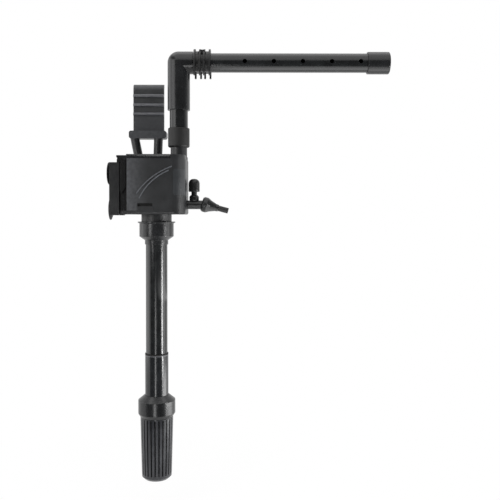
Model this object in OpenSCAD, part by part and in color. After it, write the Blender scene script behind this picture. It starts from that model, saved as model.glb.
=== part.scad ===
// Hang-on submersible filter pump for an aquarium.
// The hook straddles the tank rim, the pump hangs inside, a strainer tube draws
// water from below, and a riser with an elbow feeds a spray bar above the water.
// Origin: middle of the rim seat. X runs along the spray bar, Y out of the tank, Z up.

/* [Rim hook] */
// Thickness of the tank rim that the hook takes
rim_slot = 12; // [9:0.5:15]
// Thickness of the hook's front and rear plates
hook_wall = 4; // [3:0.5:5]
// Thickness of the bend over the rim
bend_t = 3.2; // [2.6:0.2:4]
// Width of the hook's plates
hook_w = 31.4; // [26:0.2:34]
// Step in from the front plate's sides to the bend and the rear plate
rear_in = 2.7; // [0.5:0.1:4]
// Height of the front plate, rim seat to crossbar
plate_h = 45.6; // [42:0.2:56]
// Drop of the rear plate below the rim seat
rear_drop = 42; // [24:1:60]
// Number of grip ribs below the bend
rib_count = 3; // [1:1:4]
// Pitch of the grip ribs
rib_pitch = 9.4; // [6:0.2:9.6]
// Radius of a grip rib
rib_r = 1.8; // [1.2:0.1:2.4]
// Length of the crossbar
crossbar_w = 38; // [34:0.5:42]
// Height of the crossbar
crossbar_h = 7.9; // [6:0.1:10]
// Reach of the crossbar in front of the front plate
crossbar_out = 9; // [7:0.5:12]
// Height of the legs below the crossbar
leg_h = 19.7; // [16:0.1:26]
// Diameter of a leg
leg_d = 9; // [7.5:0.25:10]
// Distance between the two leg pins
leg_pitch = 20; // [17:0.5:22]
// Lean of the left leg, top against pin
left_lean = 3.4; // [0:0.2:4]
// Lean of the right leg, top against pin
right_lean = 0.6; // [0:0.2:4]
// Diameter of a leg pin
pin_d = 6; // [5:0.25:7]

/* [Pump body] */
// Rim hook's centre to the intake axis
hook_offset = 11; // [9:0.5:13]
// Gap between the pump's back and the tank wall
back_gap = 1; // [0.5:0.5:4]
// Depth of the pump body
body_depth = 52; // [48:1:60]
// Intake axis to the left face
body_left = 37; // [36:0.5:42]
// Intake axis to the left edge of the front face
face_left = 25.3; // [24:0.1:28]
// Intake axis to the right face
body_right = 30.5; // [30:0.1:34]
// Height of the body with its lid and base
body_h = 57.8; // [55:0.2:66]
// Half depth of the narrow block that carries the bracket
block_half = 14; // [13:0.5:17]
// Radius of the two right-hand corners
corner_r = 12.5; // [8:0.5:15]
// Radius along the bottom edges
edge_r = 2.2; // [1:0.1:2.6]
// Wall thickness of the shell
wall = 2; // [1.6:0.1:2.4]
// Thickness of the lid
lid_h = 4; // [3:0.2:5]
// Overhang of the lid past the shell
lid_over = 0.4; // [0.2:0.1:0.8]
// Thickness of the base cover
base_t = 3.7; // [3.2:0.1:4.6]
// Width of the base cover's front tab and the pry slot above it
tab_w = 14.4; // [8:0.2:16]
// Height of the pry slot
slot_h = 3; // [2:0.1:4]
// Height of the tab above the base seam
tab_h = 4; // [3:0.2:6]
// Tab's centre from the intake axis, to the left
tab_x = 7.9; // [5:0.1:10]
// Width of the mould relief lines on the front
relief_w = 1.1; // [0.6:0.1:1.6]
// Diameter of the power lead's gland bore
lead_bore = 6.2; // [5:0.1:7]

/* [Pump works] */
// Outer diameter of the rotor magnet
magnet_d = 15; // [13:0.2:15.6]
// Gap between the roof of the rotor well and the lid
well_head = 3.6; // [2.6:0.2:7]
// Radial water gap between magnet and well
well_gap = 0.7; // [0.5:0.1:0.9]
// Wall thickness of the rotor well
well_wall = 1; // [0.8:0.1:1.2]
// Diameter of the ceramic shaft
shaft_d = 2.5; // [2:0.1:3]
// Diameter of the impeller
impeller_d = 30; // [26:0.5:32]
// Height of the impeller blades
blade_h = 8; // [6:0.2:9]
// Number of impeller blades
blade_count = 6; // [4:1:8]
// Height of the pump chamber above the base seam
chamber_h = 13.4; // [12.6:0.2:14.4]
// Inner radius of the volute
volute_r = 17.5; // [17.2:0.1:18.5]
// Length by which the magnet is longer than the lamination stack
core_short = 8; // [7.4:0.2:10]
// Radius of the inlet eye
eye_r = 9.5; // [8:0.1:11]

/* [Riser and spray bar] */
// Riser axis to the right of the intake axis
riser_x = 22.3; // [21.8:0.1:24]
// Outer diameter of the pump's riser spigot
spigot_d = 16.4; // [15.4:0.2:16.4]
// Wall thickness of the riser spigot
spigot_wall = 2; // [1.6:0.1:2.4]
// Height of the coupling collar
collar_h = 19.2; // [16:0.2:24]
// Gap between lid and coupling collar
collar_lift = 8.9; // [6:0.1:14]
// Outer diameter of the coupling collar
collar_d = 21.4; // [20.8:0.1:22.4]
// Outer diameter of the riser tube
riser_d = 18.1; // [17.4:0.1:18.6]
// Wall thickness of the riser tube and the spray bar
tube_wall = 1.5; // [1.2:0.1:2]
// Height of the spray bar's axis above the rim seat
bar_z = 19.8; // [19.4:0.2:32]
// Outer diameter of the elbow
elbow_d = 22.2; // [21.8:0.1:23]
// Length of the elbow's vertical leg below the bar's axis
elbow_drop = 47.2; // [36:0.2:52]
// Length of the elbow's horizontal leg past the riser's axis
elbow_reach = 14.2; // [14:0.2:20]
// Outer diameter of the spray bar
bar_d = 18.8; // [18:0.1:19]
// Length of the spray bar
bar_l = 201.4; // [160:0.2:260]
// Diameter of a spray hole
hole_d = 4.3; // [3:0.1:5]
// Number of spray holes
hole_count = 5; // [2:1:5]
// Pitch of the spray holes
hole_pitch = 28.6; // [16:0.2:28.6]
// Last spray hole to the closed end of the bar
hole_end = 26; // [24:0.5:30]
// Length of the end cap
cap_l = 22; // [16:0.5:22]
// Outer diameter of the end cap
cap_d = 21.9; // [21.4:0.1:23]
// Thickness of the end cap's closed end
cap_end = 3.1; // [2.2:0.1:5]
// Width of the bar clip
clip_w = 16.6; // [15:0.2:18]
// Radius of the clip's rounded top
clip_r = 13.3; // [12.9:0.1:14]
// Depth of the clip's fingers below the bar's axis
clip_drop = 14; // [13:0.1:15.4]
// Thickness of one clip finger
finger_t = 1.7; // [1.2:0.1:2]

/* [Intake] */
// Outer diameter of the inlet spigot
inlet_d = 30; // [29:0.2:31]
// Wall thickness of the inlet spigot
inlet_wall = 2.5; // [2:0.1:3]
// Length of the inlet spigot
inlet_l = 18; // [14:0.5:18.4]
// Bare length of inlet spigot above the reducer
inlet_bare = 7.1; // [4:0.1:10]
// Outer diameter of the reducer's socket
reducer_d = 34; // [33:0.2:36]
// Height of the reducer's socket
reducer_h = 14.7; // [13.6:0.1:17]
// Height of the reducer's shoulder
shoulder_h = 3.8; // [3:0.1:6]
// Height of the reducer's neck
neck_h = 4.2; // [3:0.1:6]
// Outer diameter of the reducer's neck
neck_d = 23.1; // [22.9:0.1:24.4]
// Outer diameter of the upper intake tube
intake_d = 21.4; // [20.8:0.1:21.5]
// Wall thickness of the upper intake tube
intake_wall = 1.5; // [1.2:0.1:2]
// Length of the upper intake tube
intake_l = 155.8; // [130:0.2:165]
// Outer diameter of the sliding lower tube
lower_d = 23.1; // [22.9:0.1:24.4]
// Length of the sliding lower tube
lower_l = 52.4; // [46:0.2:60]
// Overlap of the upper tube inside the lower tube
overlap = 36; // [26:0.5:40]

/* [Strainer] */
// Outer diameter of the strainer's head
head_d = 36.8; // [36:0.1:40]
// Height of the head's cylindrical band
head_h = 13; // [11:0.2:18]
// Height of the cone above the band
cone_h = 5; // [3:0.2:8]
// Depth of the tube socket in the head
socket_h = 10.8; // [8:0.2:11]
// Diameter of the cage under the head
cage_d = 32.5; // [31.6:0.1:33.5]
// Diameter of the cage at its foot
cage_foot_d = 29.5; // [27:0.1:31]
// Length of the cage below the head
cage_l = 61.5; // [50:0.5:90]
// Wall thickness of the cage
cage_wall = 1.8; // [1.4:0.1:2.4]
// Number of strainer slots
slot_count = 25; // [12:1:26]
// Width of a strainer slot
slot_w = 1.35; // [0.8:0.05:1.8]

/* [Side outlet] */
// Outer diameter of the side tube
side_d = 8.8; // [8.4:0.1:9]
// Bore of the side tube
side_bore = 4.4; // [3.4:0.1:4.6]
// Length of the side tube past the body
side_l = 14.4; // [14:0.1:18]
// Height of the side tube's axis above the body's foot
side_rise = 9.6; // [9.2:0.1:10]
// Right face of the body to the valve's axis
valve_x = 7; // [6:0.1:7.4]
// Height of the bell round the valve stem
bell_h = 5.3; // [4:0.1:6]
// Diameter of the valve's stem and plug
stem_d = 5.6; // [5.2:0.1:5.8]
// Gap between bell and valve knob
stem_gap = 3.2; // [2:0.1:5]
// Diameter of the valve knob
knob_d = 11; // [9:0.2:12]
// Height of the valve knob
knob_h = 13; // [10:0.2:16]
// Downward tilt of the nozzle
nozzle_tilt = 15; // [0:1:20]
// Largest radius of the nozzle
nozzle_r = 7.5; // [7:0.1:8.5]
// Length of the nozzle's cone
nozzle_l = 17; // [15:0.5:24]
// Depth of the side tube inside the nozzle
nozzle_in = 4.6; // [4:0.1:5.4]
// Length of the rubber tip past the cone
tip_l = 10; // [6:0.5:16]
// Radius of the rubber tip
tip_r = 2.8; // [2.4:0.1:3.2]

/* [Suction bracket] */
// Reach of the bracket below the body's foot
bracket_below = 0.8; // [0:0.2:4]
// Lid to the bracket's upper edge
bracket_top = 7; // [6:0.2:10]
// Thickness of the bracket's plate
bracket_t = 3; // [2.4:0.1:3.6]
// Gap between the bracket's plate and the body
bracket_gap = 4; // [3.4:0.1:5]
// Thickness of the bracket's flanges
flange_t = 2; // [1.6:0.1:2.6]
// Reach of the bracket's lips into the body's grooves
lip_reach = 2; // [1.2:0.1:2.4]
// Diameter of a suction cup
cup_d = 22; // [18:0.5:24]
// Height of a suction cup
cup_h = 4; // [3.6:0.1:7]
// Bracket's lower edge to the lower cup's centre
cup_foot = 6.4; // [5:0.2:12]
// Bracket's upper edge to the upper cup's centre
cup_top = 9.8; // [9:0.2:13]
// Half the step in depth between the upper cup and the lower one behind it
cup_side = 4; // [2:0.5:5]
// Bracket's rear flange to the lower cup's centre
cup_edge = 4.3; // [3.8:0.1:7]

/* [Fits] */
// Radial clearance of a tube in its socket
tube_fit = 0.05; // [0.03:0.01:0.08]
// Clearance of parts that slide past each other
slide_gap = 0.3; // [0.2:0.05:0.35]
// Clearance of a part seated in another
seat_gap = 0.1; // [0.05:0.05:0.15]

/* [Hidden] */

$fn = 64;
cut = 1;           // how far a cutting solid runs past a face
chamfer = 0.6;     // small edge break on turned parts
play = 0.3;        // end play of the rotor
lip_t = 1.4;       // thickness of the lid's and base cover's locating lips
plastic = [0.13, 0.14, 0.14];
rubber = [0.07, 0.07, 0.075];

// Levels of the body, downwards from the rim seat
lid_top = -(plate_h + crossbar_h + leg_h);
lid_bottom = lid_top - lid_h;
body_bottom = lid_top - body_h;
seam_z = body_bottom + base_t;
pump_x = hook_offset;
pump_y = -(rim_slot / 2 + back_gap + body_depth / 2);

// Hook
rib_start = 0.6;      // pitch origin of the grip ribs above the rim seat
hook_front = -(rim_slot / 2 + hook_wall);
leg_y = hook_front - crossbar_out / 2;
boss_h = 3;
boss_d = pin_d + 5.5;
pin_l = boss_h + lid_h - 1;

// Shell details
gland_d = lead_bore + 3;
gland_boss_h = 1.5;
gasket_rise = 1;      // gasket above the base seam
gasket_seat = 0.6;    // gasket's groove in the base
gland_right = 7.3;    // lead gland to the right of the front face's left edge
gland_front = 17;     // lead gland in front of the body's back
tongue_w = 5.8;
tongue_left = -face_left - 8.3;
tongue_foot = body_bottom + 22.8;
relief_h = 0.5;
relief_left = -16;
// Relief lines: centre from the intake axis, centre from the lid's top, radius, right end
relief_lines = [[41.3, -77.4, 69.7, 18], [35.6, -65.8, 54.3, 15]];

// Rotor stack, upwards from the pump chamber
deck_bottom = seam_z + chamber_h;
deck_t = 1.8;
deck_top = deck_bottom + deck_t;
well_r = magnet_d / 2 + well_gap;
washer_t = 0.8;
bush_l = 4;
bush_d = 7;
magnet_z0 = deck_bottom + 1;
well_roof = lid_bottom - well_head;
well_ceiling = well_roof - well_wall;
upper_bush_z = well_ceiling - bush_l;
magnet_z1 = upper_bush_z - washer_t - play;
core_h = magnet_z1 - magnet_z0 - core_short;
foot_bush_d = 6;
foot_bush_l = 2.4;
spider_top = seam_z - 0.5;
shaft_z0 = spider_top - foot_bush_l;
hub_z0 = spider_top + washer_t + play;
blade_z0 = seam_z + 1.2;
hub_r = 4;
sleeve_r = 3;
shaft_run = 0.05;

// Stator
core_mid = (magnet_z0 + magnet_z1) / 2;
pole_r = well_r + well_wall + seat_gap;
limb_in = 7;
limb_w = 7.5;
yoke_w = 5.4;
yoke_u = -(face_left - wall - seat_gap);
pole_end = 12;
bobbin_wall = 0.8;
coil_t = 2.6;
coil_u0 = yoke_u + yoke_w + seat_gap;
coil_l = 7.6;

// Riser and spray bar
duct_r = spigot_d / 2 - spigot_wall;
tail_r = duct_r - 1.2;    // narrow end of the volute under the duct
tower_u = riser_x - 5.8;  // left face of the riser's tower, which the lid ends at
tower_in = 0.5;           // tower's faces inside the body's
tower_sink = 1.5;         // tower's foot below the lid
collar_z = lid_top + collar_lift;
ledge_z = collar_z + collar_h / 2;
ledge_t = 0.8;
stop_below = 1;       // riser stop below the foot of the elbow's bar arm
bar_past = 4.7;       // bar's open end past the riser's axis
elbow_stop = bar_z - elbow_d / 2 - stop_below;
elbow_end = riser_x + elbow_reach;
bar_x0 = riser_x + bar_past;
bar_x1 = bar_x0 + bar_l;
clip_x = elbow_end + 1.1;
finger_gap = 3.7;
clip_boss_r = 4.1;
clip_boss_z = clip_r - clip_boss_r - 2.2;
clip_wall = 1.6;
cap_x1 = bar_x1 + slide_gap + cap_end;
cap_x0 = cap_x1 - cap_l;

// Intake
inlet_foot = body_bottom - inlet_l;
reducer_top = body_bottom - inlet_bare;
shoulder_z = reducer_top - reducer_h;
neck_top = shoulder_z - shoulder_h;
neck_foot = neck_top - neck_h;
intake_top = inlet_foot - slide_gap;
intake_foot = intake_top - intake_l;
lower_top = intake_foot + overlap;
lower_foot = lower_top - lower_l;

// Strainer
cone_top = lower_foot + socket_h;
band_top = cone_top - cone_h;
band_foot = band_top - head_h;
head_foot = band_foot - 3.5;
cage_top = head_foot - slide_gap;
cage_foot = cage_top - cage_l;
collar_in = cage_d / 2 - 0.9;
neck_in_h = 9;
foot_bevel = 2.6;
slot_turn = 0.8;   // share of a slot's pitch that the first slot is turned by
slot_head = 0.8;   // solid ring between the slots and the head

// Side outlet
side_z = body_bottom + side_rise;
side_end = body_right + side_l;
valve_u = body_right + valve_x;
bell_top = side_z + side_d / 2 + bell_h;
knob_z = bell_top + stem_gap;
plug_below = side_bore / 2 + 0.9;
stem_in = 6;          // stem inside the knob
nozzle_u = side_end + slide_gap;
nozzle_pivot = 3.7;

// Bracket, from the left face outwards
lip_w = 1.2;
groove_u = body_left - 1.3;
plate_in = body_left + bracket_gap;
plate_out = plate_in + bracket_t;
flange_v = block_half + slide_gap;
bracket_z1 = lid_top - bracket_top;
bracket_z0 = body_bottom - bracket_below;
cup_hole_d = 5;
cup_pitch = bracket_z1 - bracket_z0 - cup_top - cup_foot;
cup_back = flange_v - cup_edge - cup_side;

// ---------- plain helpers ----------

module at_pump() {
    translate([pump_x, pump_y, 0]) children();
}

module rod_z(r, z0, z1) {
    translate([0, 0, z0]) cylinder(r = r, h = z1 - z0);
}

module pipe_z(r_out, r_in, z0, z1) {
    difference() {
        rod_z(r_out, z0, z1);
        rod_z(r_in, z0 - cut, z1 + cut);
    }
}

module rod_x(r, x0, x1) {
    translate([x0, 0, 0]) rotate([0, 90, 0]) cylinder(r = r, h = x1 - x0);
}

module slab(z0, z1) {
    translate([0, 0, z0]) linear_extrude(z1 - z0) children();
}

module box(x0, x1, y0, y1, z0, z1) {
    translate([x0, y0, z0]) cube([x1 - x0, y1 - y0, z1 - z0]);
}

// Outline of the body seen from above, drawn in by inset
module body_plan(inset = 0) {
    half = body_depth / 2;
    r = corner_r - inset;
    flat = body_right - corner_r;
    translate([-face_left + inset, -half + inset])
        square([face_left - inset + flat, 2 * (half - inset)]);
    translate([flat, -half + corner_r]) square([r, 2 * (half - corner_r)]);
    for (side = [-1, 1])
        translate([flat, side * (half - corner_r)]) circle(r = r);
    translate([-body_left + inset, -block_half + inset])
        square([body_left - face_left, 2 * (block_half - inset)]);
}

// Points of an arc from angle a0 to a1
function arc(centre, r, a0, a1, steps) =
    [for (i = [0:steps]) let (a = a0 + (a1 - a0) * i / steps) centre + r * [cos(a), sin(a)]];

// Teardrop outline of the pump chamber, grown by its wall: two arcs and their tangents
module volute_plan(grow = 0) {
    half = acos((volute_r - tail_r) / riser_x);
    polygon(concat(
        arc([riser_x, 0], tail_r + grow, -half, half, 12),
        arc([0, 0], volute_r + grow, half, 360 - half, 36)
    ));
}

// Grooves down the block, which the bracket's lips slide in
module bracket_grooves() {
    for (side = [-1, 1]) mirror([0, side > 0 ? 1 : 0, 0])
        box(
            -groove_u, -groove_u + lip_w + 2 * slide_gap,
            -block_half - cut, -block_half + lip_reach,
            body_bottom - cut, bracket_z1 + slide_gap
        );
}

// ---------- rim hook ----------

module grip_rib(z) {
    translate([0, hook_front, z]) rotate([0, 90, 0])
        cylinder(r = rib_r, h = hook_w, center = true);
}

module hook_leg(side, lean) {
    pin_x = side * leg_pitch / 2;
    foot_z = lid_top + boss_h;
    top_z = lid_top + leg_h;
    rise = top_z - foot_z;
    slope = atan(lean / rise);
    length = norm([rise, lean]);
    intersection() {
        translate([pin_x, leg_y, foot_z]) rotate([0, side * slope, 0])
            translate([0, 0, -leg_d]) cylinder(d = leg_d, h = length + 2 * leg_d);
        box(-crossbar_w, crossbar_w, 2 * leg_y, 0, foot_z, top_z + 1);
    }
    translate([pin_x, leg_y, foot_z - pin_l]) cylinder(d = pin_d, h = pin_l + 1);
}

module hook_section() {
    back = rim_slot / 2 + hook_wall;
    r = bend_t - 0.2;
    difference() {
        union() {
            translate([-back, -plate_h - crossbar_h / 2])
                square([hook_wall, plate_h + crossbar_h / 2 + bend_t - r]);
            translate([-back + r, 0]) square([2 * (back - r), bend_t]);
            translate([-back + r, bend_t - r]) circle(r = r);
            translate([back - r, bend_t - r]) circle(r = r);
            translate([rim_slot / 2, -rear_drop]) square([hook_wall, rear_drop + bend_t - r]);
        }
        translate([-rim_slot / 2, -plate_h - cut]) square([rim_slot, plate_h + cut]);
    }
}

module crossbar_section() {
    end_r = 2.2;
    translate([-crossbar_w / 2 + end_r, 0]) square([crossbar_w - 2 * end_r, crossbar_h]);
    translate([-crossbar_w / 2, end_r]) square([crossbar_w, crossbar_h - 2 * end_r]);
    for (x = [-1, 1], z = [end_r, crossbar_h - end_r])
        translate([x * (crossbar_w / 2 - end_r), z]) circle(r = end_r);
}

module rim_hook() {
    color(plastic) {
        difference() {
            rotate([90, 0, 90]) translate([0, 0, -hook_w / 2]) linear_extrude(hook_w) hook_section();
            for (side = [0, 1]) mirror([side, 0, 0])
                box(
                    hook_w / 2 - rear_in, hook_w / 2 + cut, -rim_slot / 2 + 1,
                    rim_slot / 2 + hook_wall + cut, -rear_drop - cut, bend_t + cut
                );
        }
        for (i = [1:rib_count]) grip_rib(rib_start - i * rib_pitch);
        translate([0, -rim_slot / 2, -plate_h - crossbar_h]) rotate([90, 0, 0])
            linear_extrude(hook_wall + crossbar_out) crossbar_section();
        hook_leg(-1, left_lean);
        hook_leg(1, right_lean);
    }
}

// ---------- pump shell ----------

// Rounds the body's long bottom edges, seen from the front and from the side
module bottom_rounding(side_a, side_b, z0, z1) {
    translate([-side_a + edge_r, 0]) translate([0, z0])
        square([side_a + side_b - 2 * edge_r, z1 - z0]);
    translate([-side_a, z0 + edge_r]) square([side_a + side_b, z1 - z0 - edge_r]);
    for (x = [-side_a + edge_r, side_b - edge_r]) translate([x, z0 + edge_r]) circle(r = edge_r);
}

// A mould relief line: an arc that sweeps up and to the right
module relief_arc(centre_x, centre_z, radius, right_end) {
    intersection() {
        translate([centre_x, centre_z]) difference() {
            circle(r = radius + relief_w / 2, $fn = 180);
            circle(r = radius - relief_w / 2, $fn = 180);
        }
        translate([relief_left, centre_z]) square([right_end - relief_left, 2 * radius]);
    }
}

module front_relief() {
    translate([0, -body_depth / 2 + cut, lid_top]) rotate([90, 0, 0])
        linear_extrude(relief_h + cut)
            for (line = relief_lines) relief_arc(line[0], line[1], line[2], line[3]);
}

// Top of the shell right of the lid, which the riser spigot rises from
module riser_tower() {
    slab(lid_bottom - tower_sink, lid_top) intersection() {
        body_plan(tower_in);
        translate([tower_u, -body_depth]) square([body_right, 2 * body_depth]);
    }
}

// Tongue on the recessed block, which meets the lid and ends in a slanted tip
module block_tongue() {
    thick = 2.4;
    foot = tongue_foot;
    right = tongue_left + tongue_w;
    translate([0, -block_half + cut, 0]) rotate([90, 0, 0]) linear_extrude(cut + thick)
        polygon([
            [tongue_left, lid_bottom], [tongue_left, foot], [tongue_left + 1.4, foot - 2.4],
            [right, foot + 4], [right, lid_bottom]
        ]);
}

module pump_housing() {
    half = body_depth / 2;
    color(plastic) at_pump() {
        difference() {
            union() {
                slab(seam_z, lid_bottom) body_plan();
                front_relief();
                block_tongue();
            }
            difference() {
                slab(seam_z - cut, lid_bottom + cut) body_plan(wall);
                slab(deck_bottom, deck_top) body_plan();
                slab(seam_z + gasket_rise - cut, deck_bottom + cut / 2) volute_plan(wall);
                rod_z(well_r + well_wall, deck_bottom, well_roof);
                translate([riser_x, 0, 0])
                    rod_z(spigot_d / 2, deck_bottom + cut / 2, lid_bottom + 2 * cut);
                for (side = [-1, 1]) mirror([0, side > 0 ? 1 : 0, 0])
                    box(
                        -body_left, -groove_u + lip_w + 2 * slide_gap + wall,
                        -block_half, -block_half + lip_reach + wall,
                        seam_z, bracket_z1 + slide_gap + wall
                    );
            }
            slab(seam_z - cut, seam_z + gasket_rise) volute_plan(wall + cut / 4);
            slab(seam_z, deck_bottom) volute_plan();
            difference() {
                rod_z(well_r, deck_bottom - cut, well_ceiling);
                pipe_z(bush_d / 2 + 1.5, bush_d / 2 + seat_gap / 2, upper_bush_z, well_ceiling + cut);
            }
            translate([riser_x, 0, 0]) rod_z(duct_r, deck_bottom - cut / 2, lid_bottom + cut);
            box(
                -tab_x - tab_w / 2, -tab_x + tab_w / 2, -half - cut, -half + wall + cut,
                seam_z - cut, seam_z + tab_h + slot_h
            );
            translate([0, 0, side_z]) rod_x(side_d / 2 + tube_fit, body_right - 12, body_right + cut);
            bracket_grooves();
        }
        difference() {
            union() {
                riser_tower();
                translate([riser_x, 0, 0]) rod_z(spigot_d / 2, lid_bottom, ledge_z - seat_gap);
            }
            translate([riser_x, 0, 0]) rod_z(duct_r, lid_bottom - tower_sink - cut, ledge_z);
        }
    }
}

module top_cover() {
    lip_h = 2.4;
    lip_in = wall + seat_gap;
    color(plastic) at_pump() difference() {
        union() {
            slab(lid_bottom, lid_top) body_plan(-lid_over);
            slab(lid_bottom - lip_h, lid_bottom) difference() {
                body_plan(lip_in);
                body_plan(lip_in + lip_t);
            }
            leg_sockets() cylinder(d = boss_d, h = boss_h + cut);
            gland_place() cylinder(d = gland_d + 2.6, h = gland_boss_h + cut);
        }
        leg_sockets() translate([0, 0, boss_h + cut - pin_l - seat_gap])
            cylinder(d = pin_d + seat_gap, h = pin_l + 2 * cut);
        gland_place() translate([0, 0, -lid_h - cut])
            cylinder(d = gland_d, h = lid_h + gland_boss_h + 3 * cut);
        translate([riser_x, 0, 0])
            rod_z(spigot_d / 2 + seat_gap, lid_bottom - lip_h - cut, lid_top + cut);
        box(
            tower_u - seat_gap, body_right + 2 * cut, -body_depth, body_depth,
            lid_bottom - lip_h - cut, lid_top + cut
        );
        box(
            -body_left - cut, -groove_u + lip_w + wall + 1, -body_depth, body_depth,
            lid_bottom - lip_h - cut, lid_bottom
        );
    }
}

module leg_sockets() {
    for (side = [-1, 1])
        translate([side * leg_pitch / 2 - pump_x, leg_y - pump_y, lid_top - cut]) children();
}

module gland_place() {
    translate([-face_left + gland_right, body_depth / 2 - gland_front, lid_top - cut]) children();
}

module lead_gland() {
    below = 1.4;
    above = 1.2;
    color(rubber) at_pump() gland_place() translate([0, 0, cut - lid_h - below]) difference() {
        cylinder(d = gland_d - seat_gap, h = lid_h + below + above);
        translate([0, 0, -cut]) cylinder(d = lead_bore, h = lid_h + below + above + 2 * cut);
    }
}

module base_cover() {
    half = body_depth / 2;
    rim_h = 3;
    rim_in = wall + seat_gap + 0.1;
    tab_left = -tab_x - tab_w / 2 + seat_gap;
    tab_right = -tab_x + tab_w / 2 - seat_gap;
    color(plastic) at_pump() difference() {
        union() {
            intersection() {
                slab(body_bottom, seam_z) body_plan();
                translate([0, half + cut, 0]) rotate([90, 0, 0]) linear_extrude(body_depth + 2 * cut)
                    bottom_rounding(body_left, body_right, body_bottom, seam_z);
                rotate([90, 0, 90]) translate([0, 0, -body_left - cut])
                    linear_extrude(body_left + body_right + 2 * cut)
                    bottom_rounding(half, half, body_bottom, seam_z);
            }
            difference() {
                slab(seam_z - cut, seam_z + rim_h) difference() {
                    body_plan(rim_in);
                    body_plan(rim_in + lip_t);
                }
                box(
                    -body_left - cut, -face_left + wall + 3, -body_depth, body_depth,
                    seam_z - 2 * cut, seam_z + rim_h + cut
                );
                box(
                    riser_x - spigot_d / 2 - 4, body_right + cut, -corner_r, corner_r,
                    seam_z - 2 * cut, seam_z + rim_h + cut
                );
            }
            box(
                tab_left, tab_right, -half, -half + rim_in + lip_t,
                seam_z - cut, seam_z + tab_h
            );
            box(
                tab_left, tab_right, -half + rim_in, -half + rim_in + lip_t,
                seam_z - cut, seam_z + tab_h + slot_h + 1.5
            );
            rod_z(inlet_d / 2, inlet_foot, seam_z - cut);
        }
        difference() {
            rod_z(inlet_d / 2 - inlet_wall, inlet_foot - cut, body_bottom);
            rod_z(hub_r, body_bottom - 0.6, body_bottom + cut);
        }
        difference() {
            rod_z(eye_r, body_bottom - cut, seam_z + cut);
            rod_z(hub_r, body_bottom - 0.6, spider_top);
            for (a = [90, 210, 330]) rotate([0, 0, a])
                box(0, eye_r + cut, -0.8, 0.8, body_bottom, spider_top - 0.4);
        }
        rod_z(foot_bush_d / 2 + seat_gap / 2, spider_top - foot_bush_l, seam_z + cut);
        difference() {
            slab(seam_z - gasket_seat, seam_z + cut) volute_plan(wall + seat_gap);
            slab(seam_z - cut, seam_z + 2 * cut) volute_plan(-seat_gap);
        }
        bracket_grooves();
    }
}

module base_gasket() {
    color(rubber) at_pump() difference() {
        slab(seam_z - gasket_seat, seam_z + gasket_rise) volute_plan(wall);
        slab(seam_z - cut, seam_z + gasket_rise + cut) volute_plan();
    }
}

// ---------- motor ----------

module core_plan() {
    difference() {
        union() {
            translate([yoke_u, -limb_in - limb_w])
                square([yoke_w, 2 * (limb_in + limb_w)]);
            for (side = [-1, 1])
                translate([yoke_u, side > 0 ? limb_in : -limb_in - limb_w])
                    square([pole_end - yoke_u, limb_w]);
        }
        circle(r = pole_r);
    }
}

module stator_core() {
    color([0.45, 0.46, 0.48]) at_pump()
        slab(core_mid - core_h / 2, core_mid + core_h / 2) core_plan();
}

// A box round one limb of the stator, grown by the given amount
module limb_box(side, grow, u0, u1) {
    mid = side * (limb_in + limb_w / 2);
    box(
        u0, u1, mid - limb_w / 2 - grow, mid + limb_w / 2 + grow,
        core_mid - core_h / 2 - grow, core_mid + core_h / 2 + grow
    );
}

module coil_bobbins() {
    color([0.85, 0.84, 0.78]) at_pump() for (side = [-1, 1]) difference() {
        union() {
            limb_box(side, bobbin_wall + seat_gap, coil_u0, coil_u0 + coil_l);
            for (u = [coil_u0, coil_u0 + coil_l - bobbin_wall])
                limb_box(side, coil_t, u, u + bobbin_wall);
        }
        limb_box(side, seat_gap, coil_u0 - cut, coil_u0 + coil_l + cut);
    }
}

module stator_coils() {
    u0 = coil_u0 + bobbin_wall + seat_gap;
    u1 = coil_u0 + coil_l - bobbin_wall - seat_gap;
    color([0.72, 0.38, 0.16]) at_pump() for (side = [-1, 1]) difference() {
        limb_box(side, coil_t - 0.2, u0, u1);
        limb_box(side, bobbin_wall + 2 * seat_gap, u0 - cut, u1 + cut);
    }
}

// Resin cast round the coils, level with the top of the lamination stack's coils
module potting_resin() {
    top = core_mid + core_h / 2 + coil_t + 1;
    color([0.2, 0.2, 0.22]) at_pump() difference() {
        slab(deck_top, top) intersection() {
            body_plan(wall + seat_gap);
            translate([-face_left + wall + seat_gap, -body_depth / 2])
                square([face_left + body_right, body_depth]);
        }
        rod_z(well_r + well_wall + seat_gap, deck_top - cut, top + cut);
        translate([riser_x, 0, 0]) rod_z(spigot_d / 2 + seat_gap, deck_top - cut, top + cut);
        box(
            yoke_u - cut, coil_u0 + coil_l + seat_gap,
            -limb_in - limb_w - coil_t - seat_gap, limb_in + limb_w + coil_t + seat_gap,
            core_mid - core_h / 2 - coil_t - seat_gap, top - cut + seat_gap
        );
        box(
            0, pole_end + seat_gap,
            -limb_in - limb_w - seat_gap, limb_in + limb_w + seat_gap,
            core_mid - core_h / 2 - seat_gap, core_mid + core_h / 2 + seat_gap
        );
        box(
            yoke_u, 1,
            -limb_in - limb_w - seat_gap, limb_in + limb_w + seat_gap,
            core_mid - core_h / 2 - seat_gap, core_mid + core_h / 2 + seat_gap
        );
    }
}

module rotor_magnet() {
    color([0.25, 0.25, 0.27]) at_pump()
        pipe_z(magnet_d / 2, sleeve_r + seat_gap / 2, magnet_z0, magnet_z1);
}

// Backward-curved blade between the hub and the impeller's rim
module impeller_blade() {
    curve = impeller_d * 0.42;
    intersection() {
        translate([0, -curve]) difference() {
            circle(r = curve + 0.7);
            circle(r = curve - 0.7);
        }
        square(impeller_d);
        circle(d = impeller_d);
    }
}

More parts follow.
